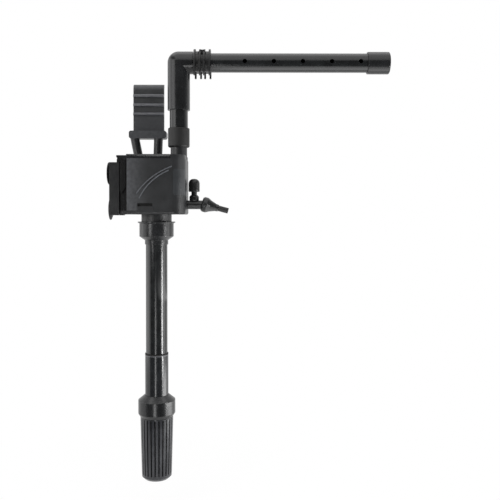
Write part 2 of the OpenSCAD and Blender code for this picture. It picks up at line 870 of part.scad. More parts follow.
module impeller() {
    plate_t = 1.4;
    blade_z1 = blade_z0 + blade_h;
    color([0.82, 0.84, 0.83]) at_pump() difference() {
        union() {
            slab(blade_z0, blade_z1 + cut / 2) for (i = [0:blade_count - 1])
                rotate(i * 360 / blade_count) impeller_blade();
            rod_z(impeller_d / 2, blade_z1, blade_z1 + plate_t);
            rod_z(hub_r, hub_z0, magnet_z0);
            rod_z(sleeve_r, magnet_z0 - cut, magnet_z1);
        }
        rod_z(shaft_d / 2 + shaft_run, hub_z0 - cut, magnet_z1 + cut);
    }
}

module rotor_shaft() {
    color("ivory") at_pump() rod_z(shaft_d / 2, shaft_z0, well_ceiling);
}

module upper_bush() {
    color(rubber) at_pump()
        pipe_z(bush_d / 2, shaft_d / 2 + shaft_run, upper_bush_z, well_ceiling);
}

module lower_bush() {
    color(rubber) at_pump() difference() {
        rod_z(foot_bush_d / 2, shaft_z0, spider_top);
        rod_z(shaft_d / 2 + shaft_run, shaft_z0 - cut, spider_top + cut);
    }
}

module thrust_washers() {
    color("white") at_pump() for (z = [spider_top, upper_bush_z - washer_t])
        pipe_z(sleeve_r - 0.1, shaft_d / 2 + shaft_run / 2, z, z + washer_t);
}

// ---------- riser, elbow and spray bar ----------

// Turned outline with broken edges, for sleeves and collars
module sleeve_section(r_in, r_out, z0, z1, edge) {
    polygon([
        [r_in, z0], [r_out - edge, z0], [r_out, z0 + edge],
        [r_out, z1 - edge], [r_out - edge, z1], [r_in, z1]
    ]);
}

module riser_collar() {
    color(plastic) at_pump() translate([riser_x, 0, 0]) difference() {
        rotate_extrude() sleeve_section(duct_r, collar_d / 2, collar_z, collar_z + collar_h, 1.2);
        rod_z(spigot_d / 2 + tube_fit, collar_z - cut, ledge_z);
        rod_z(riser_d / 2 + tube_fit, ledge_z + ledge_t, collar_z + collar_h + cut);
    }
}

module riser_tube() {
    color(plastic) at_pump() translate([riser_x, 0, 0]) pipe_z(
        riser_d / 2, riser_d / 2 - tube_wall,
        ledge_z + ledge_t + seat_gap, elbow_stop - slide_gap
    );
}

module elbow() {
    r = elbow_d / 2;
    bore = riser_d / 2 - tube_wall;
    color(plastic) at_pump() translate([riser_x, 0, bar_z]) difference() {
        union() {
            rod_z(r, -elbow_drop, 0);
            sphere(r = r);
            rod_x(r, 0, elbow_reach);
        }
        rod_z(bore, -elbow_drop - cut, 0);
        sphere(r = bore);
        rod_x(bore, 0, elbow_reach + cut);
        rod_z(riser_d / 2 + tube_fit, -elbow_drop - cut, elbow_stop - bar_z);
        rod_x(bar_d / 2 + tube_fit, bar_x0 - riser_x - slide_gap, elbow_reach + cut);
    }
}

module spray_bar() {
    last = bar_x1 - hole_end;
    color(plastic) at_pump() translate([0, 0, bar_z]) difference() {
        rod_x(bar_d / 2, bar_x0, bar_x1);
        rod_x(bar_d / 2 - tube_wall, bar_x0 - cut, bar_x1 + cut);
        for (i = [0:hole_count - 1]) translate([last - i * hole_pitch, 0, 0])
            rotate([90, 0, 0]) cylinder(d = hole_d, h = bar_d);
    }
}

module end_cap() {
    r = cap_d / 2;
    round_r = 2;
    color(plastic) at_pump() translate([cap_x0, 0, bar_z]) rotate([0, 90, 0]) difference() {
        rotate_extrude() {
            polygon([
                [0, 0], [r - chamfer, 0], [r, chamfer], [r, cap_l - round_r],
                [r - round_r, cap_l], [0, cap_l]
            ]);
            translate([r - round_r, cap_l - round_r]) intersection() {
                circle(r = round_r);
                square(round_r);
            }
        }
        translate([0, 0, -cut]) cylinder(r = bar_d / 2 + tube_fit, h = cap_l - cap_end + cut);
    }
}

// Outline of one finger plate: rounded over the bar, open below
module finger_plan() {
    mouth = bar_d / 2 - 1.6;
    difference() {
        union() {
            circle(r = clip_r);
            translate([-clip_r, -clip_drop]) square([2 * clip_r, clip_drop]);
        }
        circle(r = bar_d / 2 + slide_gap);
        translate([-mouth, -clip_drop - cut]) square([2 * mouth, clip_drop + cut]);
        for (side = [-1, 1]) translate([side * clip_r, -clip_drop]) rotate(45)
            square(4, center = true);
    }
}

module bar_clip() {
    mid = clip_w / 2;
    starts = [0, finger_t + finger_gap, clip_w - 2 * finger_t - finger_gap, clip_w - finger_t];
    color(plastic) at_pump() translate([clip_x, 0, bar_z]) difference() {
        union() {
            for (s = starts) translate([s, 0, 0]) rotate([90, 0, 90])
                linear_extrude(finger_t) finger_plan();
            rotate([90, 0, 90]) linear_extrude(clip_w) difference() {
                circle(r = bar_d / 2 + slide_gap + clip_wall);
                circle(r = bar_d / 2 + slide_gap);
                translate([-bar_d / 3, -bar_d]) square([2 * bar_d / 3, bar_d / 2 + 1.5]);
            }
            translate([mid, 0, clip_boss_z]) rotate([90, 0, 0])
                cylinder(r = clip_boss_r, h = 1.4 * clip_r, center = true);
        }
        rod_x(bar_d / 2 + slide_gap, -cut, clip_w + cut);
        translate([mid, -0.7 * clip_r + 1, clip_boss_z]) rotate([90, 0, 0])
            cylinder(r = 1.2, h = clip_boss_r);
    }
}

// ---------- intake and strainer ----------

module intake_reducer() {
    lip_t = 1;
    r = reducer_d / 2;
    color(plastic) at_pump() difference() {
        rotate_extrude() polygon([
            [0, reducer_top], [r + 1.6, reducer_top], [r + 1.6, reducer_top - lip_t],
            [r, reducer_top - lip_t - 0.8], [r, shoulder_z], [neck_d / 2, neck_top],
            [neck_d / 2, neck_foot], [0, neck_foot]
        ]);
        rod_z(inlet_d / 2 + tube_fit, inlet_foot - seat_gap, reducer_top + cut);
        rod_z(intake_d / 2 + tube_fit, neck_foot - cut, inlet_foot);
    }
}

module intake_tube() {
    color(plastic) at_pump()
        pipe_z(intake_d / 2, intake_d / 2 - intake_wall, intake_foot, intake_top);
}

module lower_tube() {
    color(plastic) at_pump()
        pipe_z(lower_d / 2, intake_d / 2 + tube_fit, lower_foot, lower_top);
}

module strainer_head() {
    color(plastic) at_pump() difference() {
        rotate_extrude() polygon([
            [0, cone_top], [lower_d / 2 + 0.6, cone_top], [head_d / 2, band_top],
            [head_d / 2, band_foot], [cage_d / 2 + 0.05, head_foot], [0, head_foot]
        ]);
        rod_z(lower_d / 2 + tube_fit, lower_foot - seat_gap, cone_top + cut);
        rod_z(intake_d / 2 + slide_gap, head_foot - cut, cone_top);
        rod_z(collar_in + tube_fit, head_foot - cut, head_foot + neck_in_h + slide_gap);
    }
}

module strainer_cage() {
    r0 = cage_d / 2;
    r1 = cage_foot_d / 2;
    foot_r = r1 - foot_bevel;
    neck_z = head_foot + neck_in_h;
    color(plastic) at_pump() difference() {
        rotate_extrude() polygon([
            [collar_in - cage_wall, neck_z], [collar_in, neck_z], [collar_in, cage_top],
            [r0, cage_top], [r1, cage_foot + foot_bevel], [foot_r, cage_foot],
            [0, cage_foot], [0, cage_foot + cage_wall], [foot_r, cage_foot + cage_wall],
            [r1 - cage_wall, cage_foot + foot_bevel + 0.8], [collar_in - cage_wall, cage_top - 1]
        ]);
        for (i = [0:slot_count - 1]) rotate([0, 0, (i + slot_turn) * 360 / slot_count])
            box(
                foot_r - 0.8, cage_d, -slot_w / 2, slot_w / 2,
                cage_foot + foot_bevel + 2.6, cage_top - slot_head
            );
    }
}

// ---------- side outlet ----------

module side_tube() {
    bell_r = side_d / 2 - seat_gap;
    color(plastic) at_pump() difference() {
        union() {
            translate([0, 0, side_z])
                rod_x(side_d / 2, body_right - 4, side_end + nozzle_in);
            translate([valve_u, 0, 0]) rotate_extrude() polygon([
                [0, side_z], [bell_r, side_z], [bell_r, bell_top - 3.4],
                [stem_d / 2 + 1.1, bell_top], [0, bell_top]
            ]);
        }
        translate([0, 0, side_z])
            rod_x(side_bore / 2, body_right - 5, side_end + nozzle_in + cut);
        translate([valve_u, 0, 0])
            rod_z(stem_d / 2 + tube_fit, side_z - plug_below, bell_top + cut);
    }
}

module valve_plug() {
    color([0.3, 0.3, 0.3]) at_pump() translate([valve_u, 0, 0]) difference() {
        rod_z(stem_d / 2, side_z - plug_below + slide_gap, knob_z + stem_in);
        translate([0, 0, side_z]) rod_x(side_bore / 2 - 0.2, -stem_d, stem_d);
    }
}

module valve_knob() {
    r = knob_d / 2;
    dome = 3.6;
    color(plastic) at_pump() translate([valve_u, 0, knob_z]) difference() {
        union() {
            cylinder(r = r, h = knob_h - dome);
            translate([0, 0, knob_h - dome]) intersection() {
                translate([0, 0, -r * r / (2 * dome) + dome / 2])
                    sphere(r = (r * r + dome * dome) / (2 * dome));
                cylinder(r = r, h = dome + cut);
            }
        }
        translate([0, 0, -cut]) cylinder(d = stem_d + seat_gap, h = stem_in + cut + seat_gap);
    }
}

module nozzle_frame() {
    at_pump() translate([nozzle_u + nozzle_pivot, 0, side_z]) rotate([0, nozzle_tilt, 0])
        translate([-nozzle_pivot, 0, 0]) rotate([0, 90, 0]) children();
}

module side_nozzle() {
    r = nozzle_r;
    color(plastic) difference() {
        nozzle_frame() rotate_extrude() polygon([
            [0, 0], [r - 1.1, 0], [r, 1.6], [r, 5], [r - 1.9, 8.6],
            [tip_r + 0.9, nozzle_l - 3], [tip_r + 0.5, nozzle_l], [0, nozzle_l]
        ]);
        at_pump() translate([0, 0, side_z])
            rod_x(side_d / 2 + tube_fit, side_end - 4, side_end + nozzle_in + slide_gap);
        nozzle_frame() cylinder(r = 1.5, h = nozzle_l + cut);
        nozzle_frame() translate([0, 0, nozzle_l - 4])
            cylinder(r = tip_r - 0.5, h = 4 + cut);
    }
}

module nozzle_tip() {
    color(rubber) nozzle_frame() translate([0, 0, nozzle_l]) difference() {
        union() {
            translate([0, 0, seat_gap]) cylinder(r = tip_r, h = tip_l);
            translate([0, 0, -3.6]) cylinder(r = tip_r - 0.55, h = 3.6 + 1);
        }
        translate([0, 0, -5]) cylinder(r = 1.4, h = tip_l + 6);
    }
}

// ---------- suction bracket ----------

module cup_places() {
    for (i = [0, 1])
        translate([0, cup_back + (2 * i - 1) * cup_side, bracket_z1 - cup_top - i * cup_pitch])
            children();
}

module suction_bracket() {
    color(plastic) at_pump() difference() {
        union() {
            box(
                -plate_out, -plate_in, -flange_v - flange_t, flange_v + flange_t,
                bracket_z0, bracket_z1
            );
            for (side = [-1, 1]) mirror([0, side > 0 ? 1 : 0, 0]) {
                box(
                    -plate_out, -groove_u + slide_gap + lip_w, -flange_v - flange_t, -flange_v,
                    bracket_z0, bracket_z1
                );
                box(
                    -groove_u + slide_gap, -groove_u + slide_gap + lip_w,
                    -flange_v - cut / 2, -block_half + lip_reach - slide_gap,
                    bracket_z0, bracket_z1
                );
            }
        }
        cup_places() rod_x(cup_hole_d / 2, -plate_out - cut, -plate_in + cut);
    }
}

module suction_cup(i) {
    r = cup_d / 2;
    head_t = 1.6;
    color(rubber) at_pump()
        translate([-plate_out, cup_back + (2 * i - 1) * cup_side, bracket_z1 - cup_top - i * cup_pitch])
        rotate([0, -90, 0]) rotate_extrude() polygon([
            [0, -bracket_t - seat_gap - head_t], [cup_hole_d / 2 + 1, -bracket_t - seat_gap - head_t],
            [cup_hole_d / 2 + 1, -bracket_t - seat_gap], [cup_hole_d / 2 - seat_gap, -bracket_t - seat_gap],
            [cup_hole_d / 2 - seat_gap, seat_gap], [5, seat_gap], [7, 1.6], [r, cup_h - 0.7], [r, cup_h],
            [r - 1.2, cup_h], [6.4, 2.9], [0, 2.1]
        ]);
}

module upper_cup() {
    suction_cup(0);
}

module lower_cup() {
    suction_cup(1);
}

rim_hook();
top_cover();
pump_housing();
lead_gland();
stator_core();
coil_bobbins();
stator_coils();
potting_resin();
rotor_magnet();
impeller();
rotor_shaft();
upper_bush();
lower_bush();
thrust_washers();
base_cover();
base_gasket();
riser_collar();
riser_tube();
elbow();
spray_bar();
bar_clip();
end_cap();
intake_reducer();
intake_tube();
lower_tube();
strainer_head();
strainer_cage();
side_tube();
valve_plug();
valve_knob();
side_nozzle();
nozzle_tip();
suction_bracket();
upper_cup();
lower_cup();
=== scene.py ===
import math

import bmesh
import bpy
from mathutils import Matrix, Vector


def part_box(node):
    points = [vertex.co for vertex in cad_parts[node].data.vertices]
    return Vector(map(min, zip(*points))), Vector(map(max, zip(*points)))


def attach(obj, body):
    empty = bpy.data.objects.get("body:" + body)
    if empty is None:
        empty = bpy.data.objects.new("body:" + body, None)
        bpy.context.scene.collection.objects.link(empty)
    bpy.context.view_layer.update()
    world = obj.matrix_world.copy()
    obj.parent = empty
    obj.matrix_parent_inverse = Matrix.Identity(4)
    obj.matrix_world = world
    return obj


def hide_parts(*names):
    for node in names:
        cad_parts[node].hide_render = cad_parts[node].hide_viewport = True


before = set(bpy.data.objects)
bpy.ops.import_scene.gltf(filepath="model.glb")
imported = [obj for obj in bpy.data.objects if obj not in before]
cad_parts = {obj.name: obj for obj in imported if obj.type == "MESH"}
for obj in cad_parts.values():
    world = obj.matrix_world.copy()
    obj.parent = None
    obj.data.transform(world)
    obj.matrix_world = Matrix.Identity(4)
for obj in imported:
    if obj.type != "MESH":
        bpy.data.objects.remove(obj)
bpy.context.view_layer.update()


# ---------- camera ----------
# A long lens, level with the pump body's foot and to the right of its middle,
# tilted slightly down, so the bar shows its front and the intake runs straight down.

lens = bpy.data.cameras.new("camera")
lens.lens = 48.8
lens.sensor_width = 36.0
lens.shift_y = -0.05
camera = bpy.data.objects.new("camera", lens)
camera.location = (0.1003, -0.7098, -0.1342)
tilt_down, turn_right = 0.62, 0.33
camera.rotation_euler = (math.radians(90 - tilt_down), 0, math.radians(-turn_right))
bpy.context.scene.collection.objects.link(camera)
bpy.context.scene.camera = camera


# ---------- pump housing ----------
# The moulded shell of the pump with its rotor well, pump chamber and riser
# spigot in one piece of black ABS. The mould is spark-eroded, which leaves a
# fine satin grain; highlights and shade are painted onto its relief, front and hollows.


def colour(sheet_hex):
    """sRGB hex as the linear colour that a shader socket takes."""
    parts = [int(sheet_hex[i:i + 2], 16) / 255 for i in (1, 3, 5)]
    linear = [c / 12.92 if c <= 0.04045 else ((c + 0.055) / 1.055) ** 2.4 for c in parts]
    return (*linear, 1.0)


def add_node(material, kind, settings=None, inputs=None, links=None):
    """Adds a node with its settings, its unlinked inputs and its links from other sockets."""
    node = material.node_tree.nodes.new(kind)
    for name, value in (settings or {}).items():
        setattr(node, name, value)
    for name, value in (inputs or {}).items():
        node.inputs[name].default_value = value
    for name, socket in (links or {}).items():
        material.node_tree.links.new(socket, node.inputs[name])
    return node


def new_material(name, **constants):
    """A node material: its shader with constant inputs, and the Object coordinates of what wears it."""
    material = bpy.data.materials.new(name)
    material.use_nodes = True
    material.node_tree.nodes.clear()
    named = {key.replace("_", " ").title().replace("Ior", "IOR"): value for key, value in constants.items()}
    shader = add_node(material, "ShaderNodeBsdfPrincipled", inputs=named)
    add_node(material, "ShaderNodeOutputMaterial", links={"Surface": shader.outputs["BSDF"]})
    place = add_node(material, "ShaderNodeTexCoord").outputs["Object"]
    return material, shader, place


def found(material, kind):
    """The material's node of a kind."""
    return next(n for n in material.node_tree.nodes if n.bl_idname == kind)


def two_tones(material, factor, stops, shades):
    """A ramp between two shades, driven by a pattern."""
    tint = add_node(material, "ShaderNodeValToRGB", links={"Fac": factor})
    for stop, where, shade in zip(tint.color_ramp.elements, stops, shades):
        stop.position = where
        stop.color = colour(shade)
    return tint.outputs["Color"]


def uneven_gloss(material, factor, least, most):
    """A roughness that wanders between two values with a pattern."""
    return add_node(
        material, "ShaderNodeMapRange", {}, {"From Min": 0.3, "From Max": 0.7, "To Min": least, "To Max": most},
        {"Value": factor},
    ).outputs["Result"]


def dress_shader(material, shader, tone, roughness, normal):
    """Links a tone, a roughness and a normal to the shader."""
    for name, socket in (("Base Color", tone), ("Roughness", roughness), ("Normal", normal)):
        material.node_tree.links.new(socket, shader.inputs[name])
    return material


def moulded_plastic(name, dark, light, gloss, grain_mm, relief, blotch_mm=14):
    """Moulded plastic: fine mould grain, with broad faint blotches in tone and gloss where it cooled unevenly."""
    material, shader, place = new_material(name, ior=1.5)
    grain = add_node(
        material, "ShaderNodeTexNoise", {}, {"Scale": 1000 / grain_mm, "Detail": 3, "Roughness": 0.6},
        {"Vector": place},
    )
    blotch = add_node(
        material, "ShaderNodeTexNoise", {}, {"Scale": 1000 / blotch_mm, "Detail": 4, "Roughness": 0.55},
        {"Vector": place},
    )
    tint = two_tones(material, blotch.outputs["Fac"], (0.32, 0.7), (dark, light))
    sheen = uneven_gloss(material, blotch.outputs["Fac"], gloss - 0.03, gloss + 0.04)
    sink = add_node(
        material, "ShaderNodeBump", {}, {"Strength": 1.0, "Distance": 0.0002}, {"Height": blotch.outputs["Fac"]},
    )
    bump = add_node(
        material, "ShaderNodeBump", {}, {"Strength": relief, "Distance": grain_mm / 8000},
        {"Height": grain.outputs["Fac"], "Normal": sink.outputs["Normal"]},
    )
    return dress_shader(material, shader, tint, sheen, bump.outputs["Normal"])


def place_piece(name, mesh, material, body, nodes=(), sharp=35):
    """Puts a finished mesh on its body with its material, smooth curves, flat walls and crisp edges."""
    mesh.materials.clear()
    mesh.materials.append(material)
    for face in mesh.polygons:
        face.use_smooth = True
    mesh.set_sharp_from_angle(angle=math.radians(sharp))
    piece = bpy.data.objects.new(name, mesh)
    bpy.context.scene.collection.objects.link(piece)
    flat = piece.modifiers.new("flat_walls", "WEIGHTED_NORMAL")
    flat.keep_sharp = True
    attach(piece, body)
    if nodes:
        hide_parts(*nodes)
    return piece


def break_edges(bm, width, sharp=35, segments=2):
    """Rounds every edge sharper than the given angle."""
    crisp = [e for e in bm.edges if e.is_manifold and e.calc_face_angle() > math.radians(sharp)]
    bmesh.ops.bevel(
        bm, geom=crisp, offset=width, offset_type="OFFSET", affect="EDGES",
        segments=segments, profile=0.5, material=-1, clamp_overlap=True,
    )


def merged_copy(node):
    """A rigid solid's triangles, joined to each other."""
    bm = bmesh.new()
    bm.from_mesh(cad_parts[node].data)
    bmesh.ops.remove_doubles(bm, verts=bm.verts, dist=2e-6)
    return bm


def keep_solid(name, node, material, body, edge=0.0004, bm=None):
    """The rigid solid itself, its triangles merged into faces and its edges broken."""
    bm = bm or merged_copy(node)
    bmesh.ops.dissolve_limit(
        bm, angle_limit=math.radians(0.5), verts=bm.verts, edges=bm.edges, use_dissolve_boundaries=False,
    )
    if edge:
        break_edges(bm, edge)
    mesh = bpy.data.meshes.new(name)
    bm.to_mesh(mesh)
    bm.free()
    return place_piece(name, mesh, material, body, [node])


def paint_light_and_gloss(material, shade, gloss, spans, least=0.55):
    """Paints light or shade into the colour as a tone, and mixes in a gloss, patchily, where all spans hold.

    A span is an axis or a socket, and the values in mm where it starts and where it holds in full.
    """
    shader = found(material, "ShaderNodeBsdfPrincipled")
    place = found(material, "ShaderNodeTexCoord").outputs["Object"]
    along = add_node(material, "ShaderNodeSeparateXYZ", links={"Vector": place}).outputs
    patchy = add_node(
        material, "ShaderNodeTexNoise", {}, {"Scale": 300, "Detail": 4, "Roughness": 0.65}, {"Vector": place},
    )
    share = add_node(
        material, "ShaderNodeMapRange", {}, {"From Min": 0.3, "From Max": 0.6, "To Min": least, "To Max": 1.0},
        {"Value": patchy.outputs["Fac"]},
    ).outputs["Result"]
    for axis, start, full in spans:
        reach = add_node(
            material, "ShaderNodeMapRange", {}, {"From Min": start / 1000, "From Max": full / 1000},
            {"Value": along[axis] if isinstance(axis, str) else axis},
        )
        share = add_node(
            material, "ShaderNodeMath", {"operation": "MULTIPLY"}, links={0: share, 1: reach.outputs["Result"]},
        ).outputs["Value"]
    tint = add_node(
        material, "ShaderNodeMix", {"data_type": "RGBA"}, {7: colour(shade)},
        {0: share, 6: shader.inputs["Base Color"].links[0].from_socket},
    )
    sheen = add_node(
        material, "ShaderNodeMix", {"data_type": "FLOAT"}, {3: gloss},
        {0: share, 2: shader.inputs["Roughness"].links[0].from_socket},
    )
    material.node_tree.links.new(tint.outputs[2], shader.inputs["Base Color"])
    material.node_tree.links.new(sheen.outputs[0], shader.inputs["Roughness"])


# Satin grain takes the light softly. The relief lines get a painted highlight, the
# front a painted sheen that grows towards the bracket's track, the track a painted
# shade with a higher gloss, and the gap round the base's latch a painted black shade.
satin = ("#141516", "#1d1e20", 0.40, 0.5, 0.3)
shell_abs = moulded_plastic("black_abs_painted_light", *satin)
# Painted sheen: the front is lighter towards its left edge and the bracket's track.
paint_light_and_gloss(shell_abs, "#3c3d40", 0.46, [("X", 6, -12), ("Y", -55, -58)], 0.4)
# Painted shade: everything left of the front's edge, the recessed track among it, is darker, and also glossier.
paint_light_and_gloss(shell_abs, "#0a0a0b", 0.24, [("X", -14.3, -14.5)], 1)
# Painted highlight on the raised relief lines.
paint_light_and_gloss(shell_abs, "#4f5155", 0.34, [("Y", -59.1, -59.3)])
# Painted black shade in the recessed gap round the base's latch.
shaded_latch_gap = [
    ("X", -4.6, -4.2), ("X", 10.8, 10.4), ("Z", -123.5, -123.2), ("Z", -120, -120.3), ("Y", -58.9, -58.6),
    ("Y", -50, -52),
]
paint_light_and_gloss(shell_abs, "#020202", 0.7, shaded_latch_gap, 1)

# The relief lines end above the front's foot.
front_y, relief_foot_z = -0.059, -0.1148
shell_bm = merged_copy("pump_housing")
for v in shell_bm.verts:
    if v.co.y < front_y - 0.0001 and v.co.z < relief_foot_z:
        v.co.y = front_y
bmesh.ops.remove_doubles(shell_bm, verts=shell_bm.verts, dist=2e-6)
keep_solid("housing_shell", "pump_housing", shell_abs, "root", 0.0003, shell_bm)


# ---------- lid, base cover and gasket ----------
# The lid closes the motor chamber and takes the hook's pins; the base cover
# clips on under the pump chamber and carries the inlet spigot. Both are the
# housing's ABS. A black rubber ring seals the chamber on the base.

gloss_abs = moulded_plastic("semi_gloss_black_abs", "#101112", "#18191b", 0.25, 0.6, 0.12)
seam_top, seam_middle, seam_foot, seam_depth = -0.0752, -0.07523, -0.07525, 0.0008
lid_bm = merged_copy("top_cover")
for seam in (seam_top, seam_foot):
    bmesh.ops.bisect_plane(
        lid_bm, geom=lid_bm.verts[:] + lid_bm.edges[:] + lid_bm.faces[:], plane_co=(0, 0, seam), plane_no=(0, 0, 1),
    )
lid_low, lid_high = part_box("top_cover")
for v in lid_bm.verts:
    if v.co.z < seam_middle:
        for i, edge, inward in ((0, lid_low[0], 1), (1, lid_low[1], 1), (1, lid_high[1], -1)):
            if abs(v.co[i] - edge) < 0.0002:
                v.co[i] += seam_depth * inward
keep_solid("lid", "top_cover", gloss_abs, "root", 0.0003, lid_bm)
base_abs = moulded_plastic("clean_black_abs", *satin)
# The same painted black shade in the latch's gap.
paint_light_and_gloss(base_abs, "#020202", 0.7, shaded_latch_gap, 1)
keep_solid("base_floor", "base_cover", base_abs, "base", 0.0003)
soft_rubber = moulded_plastic("black_soft_rubber", "#0e0e0f", "#151516", 0.55, 0.3, 0.5, 6)
keep_solid("chamber_seal", "base_gasket", soft_rubber, "base", 0)
keep_solid("cable_gland", "lead_gland", soft_rubber, "root", 0.0002)


# ---------- label pad ----------
# A thin printed film, here blank, pressed round the housing's right front
# corner. It is glossier than the grained shell, and its edge catches light.

pad_low, pad_high = -0.1123, -0.0872
pad_left, pad_right = 0.001, 0.0158
corner_axis = Vector((0.029, -0.0465, 0))
corner_radius = 0.0125
film_t = 0.00018

pad_bm = bmesh.new()
corners = [(pad_left, pad_low), (pad_right, pad_low), (pad_right, pad_high), (pad_left, pad_high)]
pad_bm.faces.new([pad_bm.verts.new((along, 0, up)) for along, up in corners])
bmesh.ops.bevel(
    pad_bm, geom=pad_bm.verts[:], offset=0.0022, affect="VERTICES", segments=6, profile=0.5, material=-1,
)
for i in range(1, 24):
    along = pad_left + (pad_right - pad_left) * i / 24
    bmesh.ops.bisect_plane(
        pad_bm, geom=pad_bm.verts[:] + pad_bm.edges[:] + pad_bm.faces[:], plane_co=(along, 0, 0),
        plane_no=(1, 0, 0),
    )
for v in pad_bm.verts:
    turn = v.co.x / corner_radius
    v.co = corner_axis + Vector((math.sin(turn), -math.cos(turn), 0)) * corner_radius + Vector((0, 0, v.co.z))
bmesh.ops.recalc_face_normals(pad_bm, faces=pad_bm.faces)
if sum((f.normal.y for f in pad_bm.faces)) > 0:
    bmesh.ops.reverse_faces(pad_bm, faces=pad_bm.faces)
bmesh.ops.solidify(pad_bm, geom=pad_bm.faces[:], thickness=-film_t)
pad_mesh = bpy.data.meshes.new("label_pad")
pad_bm.to_mesh(pad_mesh)
pad_bm.free()
film = moulded_plastic("blank_label_film", "#26282a", "#2d2f31", 0.33, 1.5, 0.05)
place_piece("label_pad", pad_mesh, film, "root")


# ---------- motor and rotor ----------
# Sealed in the housing: a laminated steel core, two enamelled copper coils on
# nylon bobbins in cast resin, and the ferrite rotor with its acetal impeller
# on a polished ceramic shaft between rubber bushes.


def dress(node, material):
    """Gives a carried-over solid its material."""
    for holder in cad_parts[node].material_slots:
        holder.material = material


def banded(name, dark, light, pitch_mm, axis, metallic, gloss, depth_mm):
    """Layers or windings side by side along one axis: a dark line between each and the next."""
    material, shader, place = new_material(name, metallic=metallic)
    bands = add_node(
        material, "ShaderNodeTexWave", {"bands_direction": axis, "wave_profile": "SIN"},
        {"Scale": math.pi * 100 / pitch_mm, "Distortion": 0.6, "Detail": 2, "Detail Scale": 2}, {"Vector": place},
    )
    tint = two_tones(material, bands.outputs["Fac"], (0.08, 0.5), (dark, light))
    stain = add_node(
        material, "ShaderNodeTexNoise", {}, {"Scale": 220, "Detail": 4, "Roughness": 0.6}, {"Vector": place},
    )
    sheen = uneven_gloss(material, stain.outputs["Fac"], gloss - 0.06, gloss + 0.1)
    bump = add_node(
        material, "ShaderNodeBump", {}, {"Strength": 0.6, "Distance": depth_mm / 1000},
        {"Height": bands.outputs["Fac"]},
    )
    return dress_shader(material, shader, tint, sheen, bump.outputs["Normal"])


# Half-millimetre silicon steel sheets, seen edge-on as fine dark and bright lines.
dress("stator_core", banded("laminated_silicon_steel", "#3c3d3f", "#a2a4a6", 0.5, "Z", 0.85, 0.38, 0.05))
# Enamelled wire wound side by side: glossy copper-red ridges.
dress("stator_coils", banded("enamelled_copper_wire", "#5c2412", "#c8743c", 0.4, "X", 0.9, 0.28, 0.12))
# Natural nylon: cloudy and slightly yellow.
dress("coil_bobbins", moulded_plastic("natural_nylon", "#cfc8b2", "#dcd6c4", 0.45, 0.6, 0.2, 8))
# Cast epoxy: nearly black, smooth, with faint swirls from pouring.
dress("potting_resin", moulded_plastic("cast_black_epoxy", "#17161a", "#222126", 0.22, 2.5, 0.12, 9))
# Sintered ferrite, ground round: dark grey with fine grinding rings.
dress("rotor_magnet", banded("ground_ferrite", "#2b2b2d", "#434346", 0.35, "Z", 0.0, 0.34, 0.01))
# Moulded acetal: an opaque pale grey with a waxy sheen.
dress("impeller", moulded_plastic("pale_acetal", "#c5c7c3", "#d3d5d1", 0.34, 0.5, 0.15, 6))
# Polished alumina: warm white, glossy and almost without grain.
dress("rotor_shaft", moulded_plastic("polished_alumina", "#e6e0d2", "#ece7db", 0.14, 0.3, 0.05, 4))
for node in ("upper_bush", "lower_bush"):
    dress(node, soft_rubber)
# Turned fluoropolymer: matt white and waxy, with faint tool rings.
dress("thrust_washers", moulded_plastic("white_fluoropolymer", "#dcdcd8", "#e6e6e3", 0.5, 0.25, 0.3, 3))


# ---------- riser ----------
# Collar, tube and elbow are black ABS: the tube is extruded, so fine draw
# lines run along it and it is glossier than the moulded shell.


def rounded_outline(corners, steps=4):
    """Outline points from (radius, height, rounding) corners in mm, returned in metres."""
    points = []
    for i, (r, s, blend) in enumerate(corners):
        here = Vector((r, s))
        if not blend:
            points.append(here / 1000)
            continue
        back = (Vector(corners[i - 1][:2]) - here).normalized()
        on = (Vector(corners[(i + 1) % len(corners)][:2]) - here).normalized()
        half = back.angle(on) / 2
        centre = here + (back + on).normalized() * blend / math.sin(half)
        start = here + back * blend / math.tan(half) - centre
        end = here + on * blend / math.tan(half) - centre
        first = math.atan2(start.y, start.x)
        sweep = (math.atan2(end.y, end.x) - first + math.pi) % (2 * math.pi) - math.pi
        for k in range(steps + 1):
            turn = first + sweep * k / steps
            points.append((centre + blend * Vector((math.cos(turn), math.sin(turn)))) / 1000)
    return points


def turned(name, corners, foot, along, material=None, body=None, nodes=(), ring=True, edge=0.00025):
    """A piece, or without a material its mesh, turned from its outline round an axis.

    A ring's outline closes on itself, a solid's ends on the axis.
    """
    bm = bmesh.new()
    verts = [bm.verts.new((p.x, 0, p.y)) for p in rounded_outline(corners)]
    pairs = list(zip(verts, verts[1:])) + ([(verts[-1], verts[0])] if ring else [])
    edges = [bm.edges.new(pair) for pair in pairs]
    bmesh.ops.spin(
        bm, geom=verts + edges, cent=(0, 0, 0), axis=(0, 0, 1), angle=2 * math.pi, steps=96, use_merge=True,
    )
    bmesh.ops.remove_doubles(bm, verts=bm.verts, dist=1e-6)
    bmesh.ops.recalc_face_normals(bm, faces=bm.faces)
    if edge:
        break_edges(bm, edge, 30)
    turn = Vector((0, 0, 1)).rotation_difference(Vector(along)).to_matrix().to_4x4()
    bmesh.ops.transform(bm, matrix=Matrix.Translation(foot) @ turn, verts=bm.verts)
    mesh = bpy.data.meshes.new(name)
    bm.to_mesh(mesh)
    bm.free()
    return place_piece(name, mesh, material, body, nodes, 30) if material else mesh


